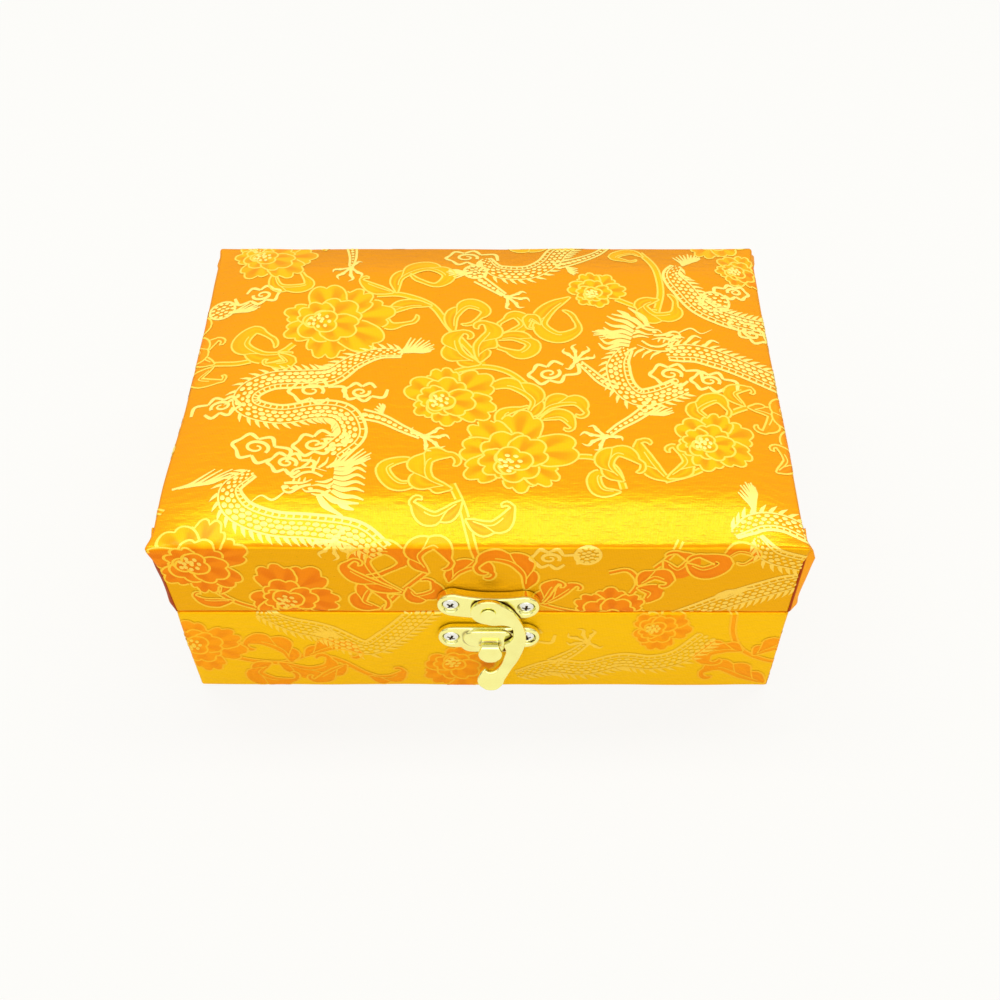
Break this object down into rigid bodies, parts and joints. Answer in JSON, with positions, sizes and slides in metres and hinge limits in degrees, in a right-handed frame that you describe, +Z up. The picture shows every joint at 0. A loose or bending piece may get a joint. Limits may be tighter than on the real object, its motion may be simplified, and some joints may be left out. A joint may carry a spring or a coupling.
{
  "type": "hinged brocade keepsake box",
  "caption": "Padded keepsake box covered in figured silk brocade, with a back-hinged lid and a brass swing-hook latch.",
  "frame": {"origin": "middle of the underside, on the surface that the box stands on", "axes": "+X to the right seen from the front, +Y to the back where the hinges are, +Z up"},
  "size_m": [0.17, 0.1388, 0.066],
  "materials": {
    "brocade": "figured satin weave",
    "satin": "plain satin",
    "satin_pad": "plain satin over sponge",
    "sponge": "open foam",
    "fibreboard": "raw fibreboard",
    "paper": "matte",
    "latch_brass": "bright plated",
    "latch_screws": "bright nickel-plated",
    "hinge_metal": "bright plated"
  },
  "bodies": {
    "base": {"base_floor_board": "fibreboard", "base_front_board": "fibreboard", "base_rear_board": "fibreboard", "base_left_board": "fibreboard", "base_right_board": "fibreboard", "base_brocade": "brocade", "underside_paper": "paper", "base_lining_front": "satin", "base_lining_rear": "satin", "base_lining_left": "satin", "base_lining_right": "satin", "base_cushion": "satin_pad", "keeper_plate": "latch_brass", "keeper_screws": "latch_screws", "hinge_leaf_base_left": "hinge_metal", "hinge_leaf_base_right": "hinge_metal", "hinge_pin_left": "hinge_metal", "hinge_pin_right": "hinge_metal", "hinge_screws_base": "hinge_metal"},
    "lid": {"lid_top_board": "fibreboard", "lid_front_board": "fibreboard", "lid_rear_board": "fibreboard", "lid_left_board": "fibreboard", "lid_right_board": "fibreboard", "lid_padding": "sponge", "lid_brocade": "brocade", "lid_lining_front": "satin", "lid_lining_rear": "satin", "lid_lining_left": "satin", "lid_lining_right": "satin", "lid_cushion": "satin_pad", "hasp_plate": "latch_brass", "hasp_screws": "latch_screws", "hasp_rivet": "latch_brass", "hinge_leaf_lid_left": "hinge_metal", "hinge_leaf_lid_right": "hinge_metal", "hinge_screws_lid": "hinge_metal"},
    "hook": {"latch_hook": "latch_brass"}
  },
  "joints": [
    {"name": "lid_hinge", "type": "hinge", "parent": "base", "child": "lid", "pos_m": [0, 0.0656, 0.036], "axis": [-1, 0, 0], "range_deg": [0, 175]},
    {"name": "hook_swing", "type": "hinge", "parent": "lid", "child": "hook", "pos_m": [0.0018, -0.06725, 0.0411], "axis": [0, -1, 0], "range_deg": [0, 290]}
  ]
}
